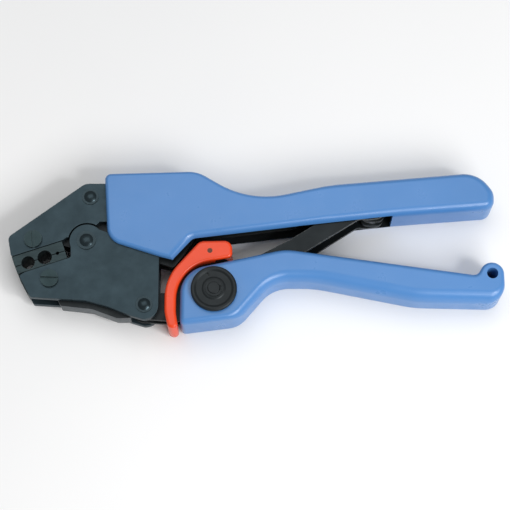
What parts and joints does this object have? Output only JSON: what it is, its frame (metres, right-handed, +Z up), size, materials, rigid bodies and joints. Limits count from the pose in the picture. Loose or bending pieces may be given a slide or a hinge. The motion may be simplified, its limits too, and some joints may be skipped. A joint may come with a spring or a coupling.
{
  "type": "ratchet crimping tool",
  "caption": "Ratchet hand crimping tool with a nested die set, compound toggle linkage, covered handles, an orange release lever and an adjusting wheel.",
  "frame": {"origin": "centre of the tool's outline, on the flat underside that it lies on", "axes": "+X along the tool from the jaws to the handle ends, +Y from the moving handle to the fixed handle, +Z up out of the adjusting wheel's side, parallel to every pivot"},
  "size_m": [0.238, 0.0787, 0.0256],
  "materials": {
    "head_steel": "phosphated, dark grey, low sheen",
    "core_steel": "blackened",
    "plain_steel": "plain",
    "rivet_steel": "blackened, worn",
    "die_steel": "blackened tool steel",
    "screw_steel": "blackened, worn slot",
    "spacer_steel": "grey, satin",
    "lever_pin_steel": "painted over",
    "link_steel": "blackened sheet",
    "wheel_steel": "black oxide, satin",
    "spring_steel": "bright wire",
    "blue_plastic": "satin moulded",
    "orange_plastic": "satin moulded"
  },
  "bodies": {
    "frame": {"fixed_jaw_plate_near": "head_steel", "fixed_jaw_plate_far": "head_steel", "frame_core_near": "core_steel", "frame_core_far": "core_steel", "frame_spacers": "plain_steel", "head_rivets": "rivet_steel", "frame_rivets": "plain_steel", "jaw_pivot_rivet": "rivet_steel", "upper_die": "die_steel", "upper_die_screw": "screw_steel", "link_anchor_pin": "plain_steel", "upper_handle_cover": "blue_plastic"},
    "moving_jaw": {"moving_jaw_plate_near": "head_steel", "moving_jaw_plate_far": "head_steel", "jaw_spacer_block": "spacer_steel", "jaw_dowels": "plain_steel", "lower_die": "die_steel", "lower_die_screw": "screw_steel", "handle_pivot_rivet": "rivet_steel"},
    "moving_handle": {"handle_core_near": "core_steel", "handle_core_far": "core_steel", "handle_spacers": "plain_steel", "handle_rivets": "plain_steel", "lower_handle_cover": "blue_plastic", "lever_pin": "lever_pin_steel", "lever_spring": "spring_steel", "pawl_pin": "plain_steel", "pawl_spring": "spring_steel", "opening_spring": "spring_steel"},
    "adjuster": {"toggle_pin": "wheel_steel", "adjusting_wheel": "wheel_steel", "wheel_retaining_ring": "wheel_steel"},
    "link": {"toggle_link": "link_steel", "ratchet_sector": "plain_steel", "sector_rivets": "plain_steel"},
    "lever": {"release_lever": "orange_plastic"},
    "pawl": {"ratchet_pawl": "plain_steel"}
  },
  "joints": [
    {"name": "jaw_hinge", "type": "hinge", "parent": "frame", "child": "moving_jaw", "pos_m": [-0.08145, 0.00445, 0.011], "axis": [0, 0, 1], "range_deg": [0, 14.1]},
    {"name": "handle_hinge", "type": "hinge", "parent": "moving_jaw", "child": "moving_handle", "pos_m": [-0.05295, -0.02755, 0.011], "axis": [0, 0, 1], "range_deg": [-43.5, 0]},
    {"name": "link_hinge", "type": "hinge", "parent": "moving_handle", "child": "link", "pos_m": [-0.01975, -0.02105, 0.011], "axis": [0, 0, 1], "range_deg": [0, 36.9]},
    {"name": "adjuster_hinge", "type": "hinge", "parent": "moving_handle", "child": "adjuster", "pos_m": [-0.01975, -0.02105, 0.011], "axis": [0, 0, 1], "range_deg": [-90, 90]},
    {"name": "release_lever_hinge", "type": "hinge", "parent": "moving_handle", "child": "lever", "pos_m": [-0.02185, -0.00115, 0.011], "axis": [0, 0, 1], "range_deg": [-4.5, 0], "stiffness_Nm_per_rad": 0.3},
    {"name": "pawl_hinge", "type": "hinge", "parent": "moving_handle", "child": "pawl", "pos_m": [-0.03025, -0.03055, 0.011], "axis": [0, 0, 1], "range_deg": [0, 10], "stiffness_Nm_per_rad": 0.02}
  ],
  "couplings": [
    {"joint": "jaw_hinge", "follows": "handle_hinge", "ratio": -0.32163},
    {"joint": "link_hinge", "follows": "handle_hinge", "ratio": -0.84488}
  ]
}
